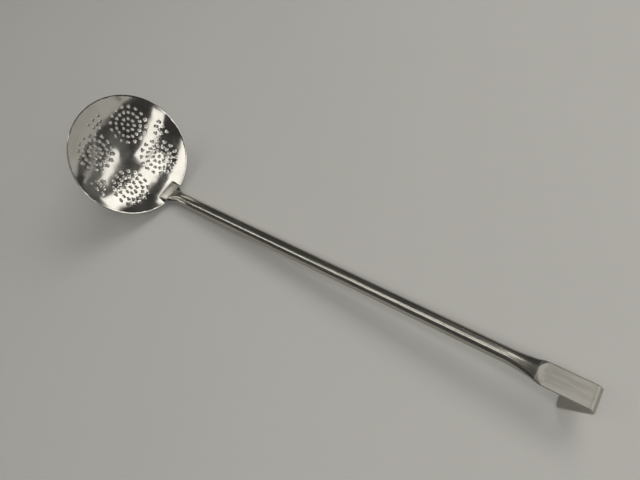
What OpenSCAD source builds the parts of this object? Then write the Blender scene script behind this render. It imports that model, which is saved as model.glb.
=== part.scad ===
// Kitchen skimmer: a perforated dish on a tube handle whose end is pressed flat and bent back into a hook.
// Lengths are in millimetres and angles in degrees. The skimmer lies as on a table, the handle along +X.

/* [Bowl] */
// Diameter of the bowl at its rim
bowl_d = 146; // [140:1:170]
// Depth of the bowl's hollow at its middle
bowl_depth = 14.5; // [12:0.5:22]
// Thickness of the bowl's sheet
bowl_t = 1; // [0.8:0.1:1.4]
// Angle between the rim's plane and the handle
lean = 62.5; // [56:0.5:68]

/* [Holes] */
// Diameter of one hole
hole_d = 2.8; // [2.2:0.1:3.4]
// Distance from the bowl's middle to the middle of each round group of holes
rosette_reach = 39.3; // [38:0.1:41]
// Radius of the inner ring of holes in a round group
ring_1_r = 7.1; // [6.6:0.1:7.8]
// Radius of the middle ring of holes in a round group
ring_2_r = 14.4; // [13.8:0.1:15]
// Radius of the outer ring of holes in a round group
ring_3_r = 21; // [20.4:0.1:21.6]
// Distance from the bowl's middle to the single hole of a fan group
fan_1_r = 46; // [45:0.5:48]
// Distance from the bowl's middle to the second row of a fan group
fan_2_r = 52.5; // [52:0.5:54]
// Distance from the bowl's middle to the third row of a fan group
fan_3_r = 59; // [58:0.5:61]

/* [Handle] */
// Outside diameter of the tube
tube_d = 16; // [14:0.5:18]
// Wall of the tube
tube_t = 1; // [0.8:0.1:1.2]
// Length of the tube from the bowl's rim to the crease of the flat end
tube_l = 483; // [300:1:560]
// Length over which the tube swells before the crease
swell_l = 36; // [28:1:44]
// Length of the pressed ramp that ends in the crease
ramp_l = 6.7; // [5:0.1:9]

/* [Hook] */
// Length of the straight flat from the crease to the bend
pad_l = 40; // [30:1:55]
// Inside radius of the hook's bend
bend_r = 5.2; // [4.6:0.2:9]
// Angle through which the flat is bent back
bend_turn = 130; // [110:1:145]
// Length of the hook's leg at its corners
leg_l = 34; // [24:1:40]
// Radius of the rounded end of the leg
tip_r = 30; // [24:1:50]

/* [Joint] */
// Where the tube starts to be pressed into the tongue, from the rim along the handle
tongue_from = 18; // [15:1:24]
// Where the tongue is fully flat, behind the rim along the handle
tongue_to = 2; // [1:0.5:3]
// Length of the bowl's wall that is pressed straight for the tongue
flap_l = 12.5; // [11:0.5:14]
// Gap between the tongue's edge and the side of its pocket, filled by the weld
weld_w = 1; // [0.8:0.1:1.4]
// How far the weld stands below the tongue's top
weld_h = 2.6; // [2:0.1:3.2]

/* [Hidden] */

// Sides of a drawn circle: round bars, spheres, fold edges, holes, and points round a pressed section
round_fn = 96;
ball_fn = 180;
edge_fn = 48;
hole_fn = 24;
loft_fn = 48;
// Cutting tools run this far past what they cut
past = 1;
// Stretches of one tube lap by this much, the later one this far inside the walls it runs into
lap = 0.3;
seat = 0.02;

// Bowl: both faces are parts of spheres round one point on the bowl's axis
rim_r = bowl_d / 2;
inner_r = (rim_r * rim_r + bowl_depth * bowl_depth) / (2 * bowl_depth);
outer_r = inner_r + bowl_t;
sphere_h = inner_r - bowl_depth;
rim_angle = asin(rim_r / inner_r);

// The round groups were placed by hand: [outwards, round the bowl, own turn] away from the even place
rosette_shift = [[-0.6, -1.5, -0.5], [-0.8, -2.5, -2], [0.6, -5, -4], [0.7, -0.5, 2]];
ring_counts = [8, 16, 16];
ring_radii = [ring_1_r, ring_2_r, ring_3_r];
// Fan groups lie between the round ones: [row radius, angles of its holes]
fan_at = [85, 180, 268.5];
fan_rows = [[fan_1_r, [0]], [fan_2_r, [-6, 0, 6]], [fan_3_r, [-8, 0, 8]]];

// Tube: pressed sections keep the girth of the round one
tube_r = tube_d / 2;
mid_r = tube_r - tube_t / 2;
flat_t = 2 * tube_t;
girth_power = 5 / 3;
flat_w = 2 * (half_width(tube_t / 2) + tube_t / 2);
// The flat lies just under the tube's axis
pad_z = -tube_t;
swell_end_h = 3;
swell_power = 1.8;
swell_steps = 14;
ramp_steps = 6;
tongue_steps = 12;
// Sections of the swell by their distance from the crease, and of the tongue by their place along the handle
swell_places = concat(
    [swell_l + lap],
    [for (i = [0 : swell_steps]) swell_l - (swell_l - ramp_l) * i / swell_steps],
    [for (i = [1 : ramp_steps]) ramp_l * (1 - i / ramp_steps)],
    [-lap]
);
tongue_places = concat(
    [-tongue_to - lap],
    [for (i = [tongue_steps : -1 : 0]) tongue_from - (tongue_from + tongue_to) * i / tongue_steps],
    [tongue_from + lap]
);
// The hollow ends this far before the crease, and this far before the tongue is flat
hollow_stop = 1.5;

// Hook
bend_mid_r = bend_r + flat_t / 2;
bend_x = tube_l + pad_l;
bend_z = pad_z - bend_mid_r;
tip_sag = tip_r - sqrt(tip_r * tip_r - flat_w * flat_w / 4);

// Joint: the flap's inner face lies one sheet above the tube's crown
flap_z = tube_r + bowl_t;
pocket_w = flat_w + 2 * weld_w;
flap_x = handle_x_on_sphere(inner_r, flap_z);
flap_end = flap_x + flap_l;
tongue_end = flap_x + bowl_t;
weld_from = tongue_end + bowl_t;
weld_to = -tongue_to;

// Rest: the round tube's end and the leg's tip both touch the table
leg_run = leg_l + tip_sag;
tip_x = bend_x + (bend_r + flat_t) * sin(bend_turn) + leg_run * cos(bend_turn);
tip_z = bend_z + (bend_r + flat_t) * cos(bend_turn) - leg_run * sin(bend_turn);
rest_tilt = atan((-tube_r - tip_z) / (tip_x - tongue_from));
floor_z = turned_z(tip_x, tip_z);
// The far rim and the bend are the two ends along X
rim_far = [-(rim_r + bowl_t * rim_r / inner_r) - rim_r, -bowl_t * sphere_h / inner_r];
far_x = rim_far[0] * cos(lean) + rim_far[1] * sin(lean);
far_z = -rim_far[0] * sin(lean) + rim_far[1] * cos(lean);
near_end = turned_x(far_x, far_z);
hook_end = turned_x(bend_x, bend_z) + bend_r + flat_t;
middle_x = (near_end + hook_end) / 2;

// Half the width of a pressed tube, at its wall's middle, from half its height there
function half_width(h) = mid_r * (PI / 2 - (PI / 2 - 1) * pow(h / mid_r, girth_power));

// Place along and across the handle after the rest tilt
function turned_x(x, z) = x * cos(rest_tilt) - z * sin(rest_tilt);
function turned_z(x, z) = x * sin(rest_tilt) + z * cos(rest_tilt);

// Where the handle's line at height z runs into a sphere of radius r round the bowl's centre
function handle_x_on_sphere(r, z) = let (
    cx = -rim_r * cos(lean) + sphere_h * sin(lean),
    cz = rim_r * sin(lean) + sphere_h * cos(lean)
) cx - sqrt(r * r - (z - cz) * (z - cz));

// A pressed section at x: an ellipse a wide and b high round height c, cut flat at top and bottom
function section(x, a, b, c, top, bottom) = [
    for (i = [0 : loft_fn - 1])
        let (t = 360 * (i + 0.5) / loft_fn, z = c + b * sin(t))
        [x, a * cos(t), min(max(z, bottom), top)]
];

// Faces of a closed skin through rings of equal size
function skin_faces(rings) = concat(
    [[for (i = [0 : loft_fn - 1]) i]],
    [for (k = [0 : rings - 2], i = [0 : loft_fn - 1])
        [k * loft_fn + i, (k + 1) * loft_fn + (i + 1) % loft_fn, k * loft_fn + (i + 1) % loft_fn]],
    [for (k = [0 : rings - 2], i = [0 : loft_fn - 1])
        [k * loft_fn + i, (k + 1) * loft_fn + i, (k + 1) * loft_fn + (i + 1) % loft_fn]],
    [[for (i = [loft_fn - 1 : -1 : 0]) (rings - 1) * loft_fn + i]]
);

module skin(sections) {
    polyhedron(points = [for (s = sections) each s], faces = skin_faces(len(sections)));
}

// The pose on the table, applied to shapes drawn along the handle
module at_rest() {
    translate([-middle_x, 0, -floor_z])
        rotate([0, -rest_tilt, 0])
            children();
}

// From the bowl's own frame, rim level and handle at +X, to the handle's
module on_handle() {
    rotate([0, lean, 0])
        translate([-rim_r, 0, 0])
            children();
}

// From the handle's frame back to the bowl's own
module from_handle() {
    translate([rim_r, 0, 0])
        rotate([0, -lean, 0])
            children();
}

module ball(r) {
    translate([0, 0, sphere_h])
        sphere(r, $fn = ball_fn);
}

// The dish's wall before its outside is rounded: its lip is cut square to the sheet by a cone
module dish_block() {
    bottom = -bowl_depth - 2 * bowl_t;
    top = 2 * bowl_t;
    difference() {
        translate([0, 0, bottom])
            cylinder(
                r1 = (sphere_h - bottom) * tan(rim_angle),
                r2 = (sphere_h - top) * tan(rim_angle),
                h = top - bottom,
                $fn = ball_fn
            );
        ball(inner_r);
    }
}

// One hole, punched square to the sheet at a place seen from above
module hole(x, y) {
    translate([0, 0, sphere_h])
        rotate([0, 180 - asin(norm([x, y]) / inner_r), atan2(y, x)])
            translate([0, 0, inner_r - past])
                cylinder(d = hole_d, h = bowl_t + 2 * past, $fn = hole_fn);
}

module rosette(x, y, turn) {
    hole(x, y);
    for (ring = [0 : len(ring_counts) - 1])
        for (i = [0 : ring_counts[ring] - 1])
            let (a = turn + 360 * i / ring_counts[ring])
                hole(x + ring_radii[ring] * cos(a), y + ring_radii[ring] * sin(a));
}

module fan(middle) {
    for (row = fan_rows)
        for (side = row[1])
            hole(row[0] * cos(middle + side), row[0] * sin(middle + side));
}

module holes() {
    for (k = [0 : 3])
        let (
            reach = rosette_reach + rosette_shift[k][0],
            a = 45 + 90 * k + rosette_shift[k][1]
        )
            rosette(reach * cos(a), reach * sin(a), 45 + rosette_shift[k][2]);
    for (middle = fan_at)
        fan(middle);
}

// All that lies below height z in the handle's frame, as wide as given
module below(z, width) {
    translate([-bowl_d, -width / 2, z - 2 * bowl_d])
        cube([2 * bowl_d, width, 2 * bowl_d]);
}

// The pressed pocket: a straight flap over the tongue and a web on each side down to the rim
module pocket_block() {
    difference() {
        translate([0, pocket_w / 2 + bowl_t, 0])
            rotate([90, 0, 0])
                linear_extrude(pocket_w + 2 * bowl_t)
                    polygon([[-rim_r, flap_z], [flap_end, flap_z], [0, 0], [-rim_r, -rim_r]]);
        below(flap_z - bowl_t, pocket_w);
    }
}

module bowl_shape() {
    difference() {
        intersection() {
            ball(outer_r);
            union() {
                difference() {
                    dish_block();
                    from_handle()
                        below(flap_z - bowl_t / 2, pocket_w + bowl_t);
                }
                from_handle()
                    pocket_block();
            }
        }
        holes();
    }
}

// The flattened tube's cross-section: two walls together, folded round at both edges
module flat_profile(inset) {
    wall = tube_t - inset;
    translate([-flat_w / 2 + tube_t, -wall])
        square([flat_w - flat_t, 2 * wall]);
    for (side = [-1, 1])
        translate([side * (flat_w / 2 - tube_t), 0])
            circle(wall, $fn = edge_fn);
}

// A straight stretch of the flattened tube along +X, its middle plane at height 0
module flat_bar(length, inset = 0) {
    rotate([90, 0, 90])
        linear_extrude(length)
            flat_profile(inset);
}

// The tube's end swells towards the hook, then a ramp presses both walls to the flat
function swell_section(u, wall) = let (
    t = max(0, 1 - u / swell_l),
    b = tube_r - (tube_r - swell_end_h) * pow(t, swell_power),
    a = half_width(b - tube_t / 2) + tube_t / 2,
    crown = tube_r - (tube_r - swell_end_h) * pow(1 - ramp_l / swell_l, swell_power),
    slope = (crown - tube_t) / ramp_l,
    reach = tube_t + u * slope - wall * sqrt(1 + slope * slope)
) section(tube_l - u, a - wall, b - wall, pad_z * t, pad_z * t + reach, pad_z * t - reach);

module hook_swell() {
    bore = tube_t - seat;
    difference() {
        skin([for (u = swell_places) swell_section(u, seat)]);
        skin(concat(
            [swell_section(swell_l + past, bore)],
            [for (u = swell_places) if (u > hollow_stop) swell_section(u, bore)],
            [swell_section(hollow_stop, bore)]
        ));
    }
}

// The tube's other end is pressed up level with its crown
function tongue_section(x, wall) = let (
    t = max(0, (tongue_from - x) / (tongue_from + tongue_to)),
    b = tube_r - (tube_r - tube_t) * t * t,
    a = half_width(b - tube_t / 2) + tube_t / 2
) section(x, a - wall, b - wall, tube_r - b, tube_r, -tube_r);

module tongue_swell() {
    bore = tube_t - seat;
    hollow_from = hollow_stop - tongue_to;
    difference() {
        skin([for (x = tongue_places) tongue_section(x, seat)]);
        skin(concat(
            [tongue_section(hollow_from, bore)],
            [for (x = tongue_places) if (x > hollow_from) tongue_section(x, bore)],
            [tongue_section(tongue_from + past, bore)]
        ));
    }
}

module tongue() {
    translate([tongue_end, 0, tube_r - tube_t])
        flat_bar(-tongue_to - tongue_end);
}

module tube() {
    translate([tongue_from, 0, 0])
        rotate([0, 90, 0])
            difference() {
                cylinder(r = tube_r, h = tube_l - swell_l - tongue_from, $fn = round_fn);
                translate([0, 0, -past])
                    cylinder(r = tube_r - tube_t, h = tube_l + 2 * past, $fn = round_fn);
            }
}

module hook_bend() {
    translate([bend_x, 0, bend_z])
        rotate([-90, -90, 0])
            rotate_extrude(angle = bend_turn, $fn = round_fn)
                translate([bend_mid_r, 0])
                    rotate(90)
                        flat_profile(0);
}

// The leg ends in a shallow arc across its width, and starts a little inside the bend
module hook_leg() {
    translate([bend_x, 0, bend_z])
        rotate([0, bend_turn, 0])
            translate([0, 0, bend_mid_r])
                intersection() {
                    translate([-lap, 0, 0])
                        flat_bar(leg_run + lap, seat);
                    translate([leg_run - tip_r, 0, -flat_t])
                        cylinder(r = tip_r, h = 2 * flat_t, $fn = 2 * round_fn);
                }
}

module handle_shape() {
    tongue();
    tongue_swell();
    tube();
    hook_swell();
    translate([tube_l, 0, pad_z])
        flat_bar(pad_l);
    hook_bend();
    hook_leg();
}

// A bead along one edge of the tongue, filling the pocket beside it
module weld_shape(side) {
    difference() {
        translate([weld_from, 0, 0])
            rotate([90, 0, 90])
                linear_extrude(weld_to - weld_from)
                    scale([side, 1])
                        polygon([
                            [flat_w / 2 - tube_t, tube_r],
                            [pocket_w / 2, tube_r],
                            [pocket_w / 2, tube_r - weld_h],
                            [flat_w / 2 - tube_t, tube_r - flat_t]
                        ]);
        tongue();
    }
}

module bowl() {
    color("silver")
        at_rest()
            on_handle()
                bowl_shape();
}

module handle() {
    color("darkgray")
        at_rest()
            handle_shape();
}

module weld_left() {
    color("dimgray")
        at_rest()
            weld_shape(1);
}

module weld_right() {
    color("dimgray")
        at_rest()
            weld_shape(-1);
}

bowl();
handle();
weld_left();
weld_right();
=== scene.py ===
"""Kitchen skimmer: its polished bowl, pressed tube handle and welds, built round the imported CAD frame.

Lengths are in metres and angles in degrees unless a name says otherwise.
"""

import logging
import math
from dataclasses import dataclass
from enum import Enum

import bmesh
import bpy
from mathutils import Euler, Matrix, Vector, noise
from mathutils.geometry import delaunay_2d_cdt


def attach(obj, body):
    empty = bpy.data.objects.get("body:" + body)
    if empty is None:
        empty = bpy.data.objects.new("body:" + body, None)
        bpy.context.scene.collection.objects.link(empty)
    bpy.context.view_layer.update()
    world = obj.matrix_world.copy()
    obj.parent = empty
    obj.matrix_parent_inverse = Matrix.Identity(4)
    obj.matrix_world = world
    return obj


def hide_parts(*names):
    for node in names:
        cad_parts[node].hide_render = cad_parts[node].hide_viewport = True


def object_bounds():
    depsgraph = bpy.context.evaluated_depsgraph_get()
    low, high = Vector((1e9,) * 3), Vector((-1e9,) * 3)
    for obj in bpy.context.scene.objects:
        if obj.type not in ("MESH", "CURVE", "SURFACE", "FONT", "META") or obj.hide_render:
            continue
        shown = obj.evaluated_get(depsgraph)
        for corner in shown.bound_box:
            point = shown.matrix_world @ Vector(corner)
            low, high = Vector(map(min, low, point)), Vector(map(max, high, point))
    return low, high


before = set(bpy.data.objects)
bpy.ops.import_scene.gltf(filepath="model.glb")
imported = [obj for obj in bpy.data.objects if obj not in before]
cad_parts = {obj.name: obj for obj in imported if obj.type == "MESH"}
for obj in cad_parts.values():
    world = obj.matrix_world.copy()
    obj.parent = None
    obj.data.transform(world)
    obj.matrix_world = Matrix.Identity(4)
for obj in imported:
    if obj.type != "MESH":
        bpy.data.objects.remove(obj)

LOG = logging.getLogger("skimmer")
MM = 0.001
BODY = "root"
CAD_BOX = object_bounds()


def smooth_step(low: float, high: float, value: float) -> float:
    """Rises smoothly from 0 at low to 1 at high.

    Args:
        low: Where the rise starts.
        high: Where it ends.
        value: The place asked for.

    Returns:
        A share from 0 to 1.
    """
    share = min(1.0, max(0.0, (value - low) / (high - low)))
    return share * share * (3 - 2 * share)


def soft_ramp(value: float, radius: float) -> float:
    """Zero below 0 and value above it, rounded over about the given radius.

    Args:
        value: The place asked for.
        radius: How far the corner at 0 is rounded.

    Returns:
        The rounded ramp's height.
    """
    return (value + math.sqrt(value * value + radius * radius)) / 2


@dataclass(frozen=True)
class Sizes:
    """The skimmer's driving sizes, as in the CAD source."""

    bowl_d: float = 0.146
    bowl_depth: float = 0.0145
    bowl_t: float = 0.001
    lean: float = 62.5
    hole_d: float = 0.0028
    tube_d: float = 0.016
    tube_t: float = 0.001
    tube_l: float = 0.483
    swell_l: float = 0.036
    ramp_l: float = 0.0067
    pad_l: float = 0.040
    bend_r: float = 0.0052
    bend_turn: float = 130.0
    leg_l: float = 0.034
    tip_r: float = 0.030
    tongue_from: float = 0.018
    tongue_to: float = 0.002
    flap_l: float = 0.0125
    flap_slope: float = 6.2
    dip_to: float = 0.020
    weld_w: float = 0.001
    weld_h: float = 0.0026
    swell_end_h: float = 0.003
    swell_power: float = 1.8
    girth_power: float = 5 / 3

    @property
    def rim_r(self) -> float:
        """Radius of the rim."""
        return self.bowl_d / 2

    @property
    def inner_r(self) -> float:
        """Radius of the sphere that the bowl's inside lies on."""
        return (self.rim_r ** 2 + self.bowl_depth ** 2) / (2 * self.bowl_depth)

    @property
    def outer_r(self) -> float:
        """Radius of the sphere that the bowl's outside lies on."""
        return self.inner_r + self.bowl_t

    @property
    def centre_h(self) -> float:
        """Height of the spheres' centre over the rim's plane."""
        return self.inner_r - self.bowl_depth

    @property
    def rim_angle(self) -> float:
        """Half the angle, in radians, that the bowl spans from the spheres' centre."""
        return math.asin(self.rim_r / self.inner_r)

    @property
    def tube_r(self) -> float:
        """Outside radius of the tube."""
        return self.tube_d / 2

    @property
    def flat_t(self) -> float:
        """Thickness of the tube pressed flat."""
        return 2 * self.tube_t

    @property
    def flat_w(self) -> float:
        """Width of the tube pressed flat."""
        return 2 * self.half_width(self.tube_t)

    @property
    def pad_z(self) -> float:
        """Height of the flat's middle plane, seen from the tube's axis."""
        return -self.tube_t

    @property
    def bend_x(self) -> float:
        """Where the hook's bend starts, along the handle."""
        return self.tube_l + self.pad_l

    @property
    def bend_mid_r(self) -> float:
        """Radius of the bend at the flat's middle plane."""
        return self.bend_r + self.tube_t

    @property
    def tip_sag(self) -> float:
        """How far the leg's rounded end falls back at its corners."""
        return self.tip_r - math.sqrt(self.tip_r ** 2 - self.flat_w ** 2 / 4)

    @property
    def flap_z(self) -> float:
        """Height of the pressed flap's inner face over the tube's axis."""
        return self.tube_r + self.bowl_t

    @property
    def crease_x(self) -> float:
        """Where the flap starts, along the handle, on the middle line."""
        lean = math.radians(self.lean)
        x = math.cos(lean) * -self.rim_r + math.sin(lean) * self.centre_h
        z = math.sin(lean) * self.rim_r + math.cos(lean) * self.centre_h
        return x - math.sqrt(self.inner_r ** 2 - (self.flap_z - z) ** 2)

    def dip(self, x: float) -> float:
        """How far the flap, and the tube's pressed end under it, lie below the level of the tube's crown.

        Args:
            x: Place along the handle.

        Returns:
            A depth that grows to the flap's end and fades where the tube is round again.
        """
        slope = math.tan(math.radians(self.flap_slope))
        end = self.crease_x + self.flap_l
        if x <= end:
            return slope * max(0.0, x - self.crease_x)
        return slope * self.flap_l * (1 - smooth_step(end, self.dip_to, x))

    @property
    def pocket_w(self) -> float:
        """Width between the two webs of the pressed pocket."""
        return self.flat_w + 2 * self.weld_w

    def half_width(self, half_height: float) -> float:
        """Half the outside width of the tube pressed to half_height, with its girth unchanged.

        Args:
            half_height: Half the outside height of the pressed section.

        Returns:
            Half its outside width.
        """
        mid_r = self.tube_r - self.tube_t / 2
        share = max(0.0, half_height - self.tube_t / 2) / mid_r
        width = mid_r * (math.pi / 2 - (math.pi / 2 - 1) * share ** self.girth_power)
        return width + self.tube_t / 2


class RestPose:
    """Turns places given along the handle, or in the bowl, into the part's frame."""

    def __init__(self, sizes: Sizes) -> None:
        """Works out the pose in which the tube's end and the leg's tip touch the table.

        Args:
            sizes: The skimmer's sizes.
        """
        turn = math.radians(sizes.bend_turn)
        reach = sizes.bend_r + sizes.flat_t
        run = sizes.leg_l + sizes.tip_sag
        bend_z = sizes.pad_z - sizes.bend_mid_r
        tip = Vector((
            sizes.bend_x + reach * math.sin(turn) + run * math.cos(turn),
            0,
            bend_z + reach * math.cos(turn) - run * math.sin(turn),
        ))
        tilt = math.atan((-sizes.tube_r - tip.z) / (tip.x - sizes.tongue_from))
        level = Matrix.Rotation(-tilt, 4, "Y")
        on_handle = Matrix.Rotation(math.radians(sizes.lean), 4, "Y") @ Matrix.Translation((-sizes.rim_r, 0, 0))
        growth = sizes.outer_r / sizes.inner_r
        far_rim = Vector((-sizes.rim_r * growth, 0, -sizes.bowl_t * sizes.centre_h / sizes.inner_r))
        near_end = (level @ on_handle @ far_rim).x
        hook_end = (level @ Vector((sizes.bend_x, 0, bend_z))).x + reach
        shift = Matrix.Translation((-(near_end + hook_end) / 2, 0, -(level @ tip).z))
        self.handle: Matrix = shift @ level
        self.bowl: Matrix = self.handle @ on_handle
        self.bowl_to_handle: Matrix = on_handle


class Projection(Enum):
    """How a noise pattern is stretched over the metal."""

    EVEN = (1.0, 1.0, 1.0)
    ALONG_HANDLE = (0.012, 1.0, 1.0)


class NodeBoard:
    """A small helper that lays out one material's nodes."""

    def __init__(self, name: str) -> None:
        """Starts a material with a Principled shader.

        Args:
            name: The material's name.
        """
        self.material = bpy.data.materials.new(name)
        self.material.use_nodes = True
        self.tree = self.material.node_tree
        self.tree.nodes.clear()
        self.output = self.tree.nodes.new("ShaderNodeOutputMaterial")
        self.shader = self.tree.nodes.new("ShaderNodeBsdfPrincipled")
        self.join(self.shader.outputs["BSDF"], self.output.inputs["Surface"])
        self.places = self.tree.nodes.new("ShaderNodeTexCoord").outputs["Object"]

    def join(self, source: bpy.types.NodeSocket, target: bpy.types.NodeSocket) -> None:
        """Links one socket to another."""
        self.tree.links.new(source, target)

    def noise(self, scale: float, detail: float, projection: Projection, turn: float = 0.0) -> bpy.types.NodeSocket:
        """A noise pattern on the part's own coordinates.

        Args:
            scale: Features per metre.
            detail: Octaves of finer noise.
            projection: How the pattern is stretched.
            turn: Turn about Y, in degrees, that brings the pattern in line with the handle.

        Returns:
            The pattern's value, about 0.5 on average.
        """
        mapping = self.tree.nodes.new("ShaderNodeMapping")
        mapping.inputs["Scale"].default_value = projection.value
        mapping.inputs["Rotation"].default_value = (0, math.radians(turn), 0)
        pattern = self.tree.nodes.new("ShaderNodeTexNoise")
        pattern.inputs["Scale"].default_value = scale
        pattern.inputs["Detail"].default_value = detail
        self.join(self.places, mapping.inputs["Vector"])
        self.join(mapping.outputs["Vector"], pattern.inputs["Vector"])
        return pattern.outputs["Fac"]

    def spread(self, value: bpy.types.NodeSocket, low: float, high: float,
               out_low: float, out_high: float) -> bpy.types.NodeSocket:
        """Maps a value's range to another one.

        Args:
            value: The socket read.
            low: The value that gives out_low.
            high: The value that gives out_high.
            out_low: The result at low.
            out_high: The result at high.

        Returns:
            The mapped value, held within the two results.
        """
        ranger = self.tree.nodes.new("ShaderNodeMapRange")
        ranger.inputs["From Min"].default_value = low
        ranger.inputs["From Max"].default_value = high
        ranger.inputs["To Min"].default_value = out_low
        ranger.inputs["To Max"].default_value = out_high
        self.join(value, ranger.inputs["Value"])
        return ranger.outputs["Result"]

    def math(self, operation: str, first: bpy.types.NodeSocket,
             second: bpy.types.NodeSocket | float) -> bpy.types.NodeSocket:
        """One arithmetic step.

        Args:
            operation: A Math node's operation.
            first: Its first value.
            second: Its second value, a socket or a number.

        Returns:
            The result.
        """
        node = self.tree.nodes.new("ShaderNodeMath")
        node.operation = operation
        self.join(first, node.inputs[0])
        if isinstance(second, (int, float)):
            node.inputs[1].default_value = second
        else:
            self.join(second, node.inputs[1])
        return node.outputs[0]

    def tint(self, share: bpy.types.NodeSocket, dark: tuple[float, ...], light: tuple[float, ...]) -> None:
        """Colours the metal between two tints.

        Args:
            share: 0 for the dark tint and 1 for the light one.
            dark: The dark tint.
            light: The light tint.
        """
        mix = self.tree.nodes.new("ShaderNodeMix")
        mix.data_type = "RGBA"
        mix.inputs["A"].default_value = (*dark, 1)
        mix.inputs["B"].default_value = (*light, 1)
        self.join(share, mix.inputs["Factor"])
        self.join(mix.outputs["Result"], self.shader.inputs["Base Color"])

    def bump(self, height: bpy.types.NodeSocket, depth: float, strength: float) -> None:
        """Adds fine relief after any that is there.

        Args:
            height: The relief's height, from 0 to 1.
            depth: Its real depth.
            strength: How strongly it shows.
        """
        relief = self.tree.nodes.new("ShaderNodeBump")
        relief.inputs["Distance"].default_value = depth
        relief.inputs["Strength"].default_value = strength
        self.join(height, relief.inputs["Height"])
        normal = self.shader.inputs["Normal"]
        if normal.is_linked:
            self.join(normal.links[0].from_socket, relief.inputs["Normal"])
        self.join(relief.outputs["Normal"], normal)

    def attribute(self, name: str) -> bpy.types.NodeSocket:
        """A value stored on the piece's points."""
        node = self.tree.nodes.new("ShaderNodeAttribute")
        node.attribute_name = name
        return node.outputs["Fac"]


@dataclass(frozen=True)
class PolishedSheet:
    """The bowl's polished stainless sheet, with a haze of fine wiping marks."""

    dark: tuple[float, float, float] = (0.60, 0.585, 0.545)
    light: tuple[float, float, float] = (0.74, 0.725, 0.69)
    least_rough: float = 0.05
    most_rough: float = 0.13
    scratch_depth: float = 0.00001

    def build(self) -> bpy.types.Material:
        """Makes the material.

        Returns:
            The polished sheet's material.
        """
        board = NodeBoard("polished_sheet")
        board.shader.inputs["Metallic"].default_value = 1.0
        haze = board.noise(38, 3, Projection.EVEN)
        fine = board.noise(900, 4, Projection.EVEN)
        board.tint(board.spread(haze, 0.3, 0.7, 0, 1), self.dark, self.light)
        both = board.math("ADD", board.math("MULTIPLY", haze, 0.7), board.math("MULTIPLY", fine, 0.3))
        board.join(board.spread(both, 0.35, 0.65, self.least_rough, self.most_rough),
                   board.shader.inputs["Roughness"])
        board.bump(fine, self.scratch_depth, 0.5)
        return board.material


@dataclass(frozen=True)
class SatinTube:
    """The handle's stainless tube: fine lines along its length, a coarser grind on the flat, and a painted sheen that
    makes the flat paler.
    """

    dark: tuple[float, float, float] = (0.42, 0.41, 0.37)
    light: tuple[float, float, float] = (0.58, 0.565, 0.52)
    least_rough: float = 0.15
    most_rough: float = 0.28
    flat_rough: float = 0.20
    line_depth: float = 0.00002

    def build(self, tilt: float) -> bpy.types.Material:
        """Makes the material.

        Args:
            tilt: The handle's slope on the table, which the lines follow.

        Returns:
            The tube's material.
        """
        board = NodeBoard("satin_tube")
        board.shader.inputs["Metallic"].default_value = 1.0
        lines = board.noise(1500, 3, Projection.ALONG_HANDLE, tilt)
        broad = board.noise(260, 2, Projection.ALONG_HANDLE, tilt)
        stain = board.noise(22, 3, Projection.EVEN)
        flat = board.attribute("pressed_flat")
        shade = board.math("ADD", board.math("MULTIPLY", broad, 0.5), board.math("MULTIPLY", stain, 0.5))
        # Random tone, plus a painted sheen: the pressed flat's tint is lifted towards the light one to stand in for its
        # bright reflection.
        tone_and_flat_sheen = board.math("ADD", board.spread(shade, 0.35, 0.65, 0, 0.6), board.math("MULTIPLY", flat, 0.6))
        board.tint(tone_and_flat_sheen, self.dark, self.light)
        rough = board.spread(board.math("MULTIPLY", board.math("ADD", lines, broad), 0.5), 0.35, 0.65,
                             self.least_rough, self.most_rough)
        rough = board.math("ADD", rough, board.math("MULTIPLY", flat, self.flat_rough))
        board.join(rough, board.shader.inputs["Roughness"])
        board.bump(lines, self.line_depth, 0.6)
        return board.material


@dataclass(frozen=True)
class WeldMetal:
    """A dull, rippled weld bead with a straw and grey heat tint."""

    dark: tuple[float, float, float] = (0.24, 0.21, 0.18)
    light: tuple[float, float, float] = (0.50, 0.47, 0.42)

    def build(self) -> bpy.types.Material:
        """Makes the material.

        Returns:
            The weld's material.
        """
        board = NodeBoard("weld_metal")
        board.shader.inputs["Metallic"].default_value = 1.0
        grain = board.noise(700, 4, Projection.EVEN)
        board.tint(board.spread(grain, 0.3, 0.7, 0, 1), self.dark, self.light)
        board.join(board.spread(grain, 0.3, 0.7, 0.35, 0.6), board.shader.inputs["Roughness"])
        board.bump(grain, 0.00008, 0.7)
        return board.material


@dataclass(frozen=True)
class FloorPaint:
    """A plain pale matt table top."""

    dark: tuple[float, float, float] = (0.53, 0.525, 0.505)
    light: tuple[float, float, float] = (0.56, 0.555, 0.535)

    def build(self) -> bpy.types.Material:
        """Makes the material.

        Returns:
            The floor's material.
        """
        board = NodeBoard("floor_paint")
        board.tint(board.noise(3, 2, Projection.EVEN), self.dark, self.light)
        board.shader.inputs["Roughness"].default_value = 0.7
        return board.material


def finished_piece(name: str, mesh: bpy.types.Mesh, material: bpy.types.Material,
                   nodes: tuple[str, ...]) -> bpy.types.Object:
    """Puts a finished mesh in the scene and ties it to the frame.

    Args:
        name: The piece's name.
        mesh: Its mesh, in the part's frame.
        material: Its finish.
        nodes: The CAD nodes that it stands for.

    Returns:
        The piece's object.
    """
    piece = bpy.data.objects.new(name, mesh)
    bpy.context.scene.collection.objects.link(piece)
    mesh.materials.clear()
    mesh.materials.append(material)
    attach(piece, BODY)
    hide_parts(*nodes)
    LOG.info("%s: %d faces", name, len(mesh.polygons))
    return piece


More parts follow.
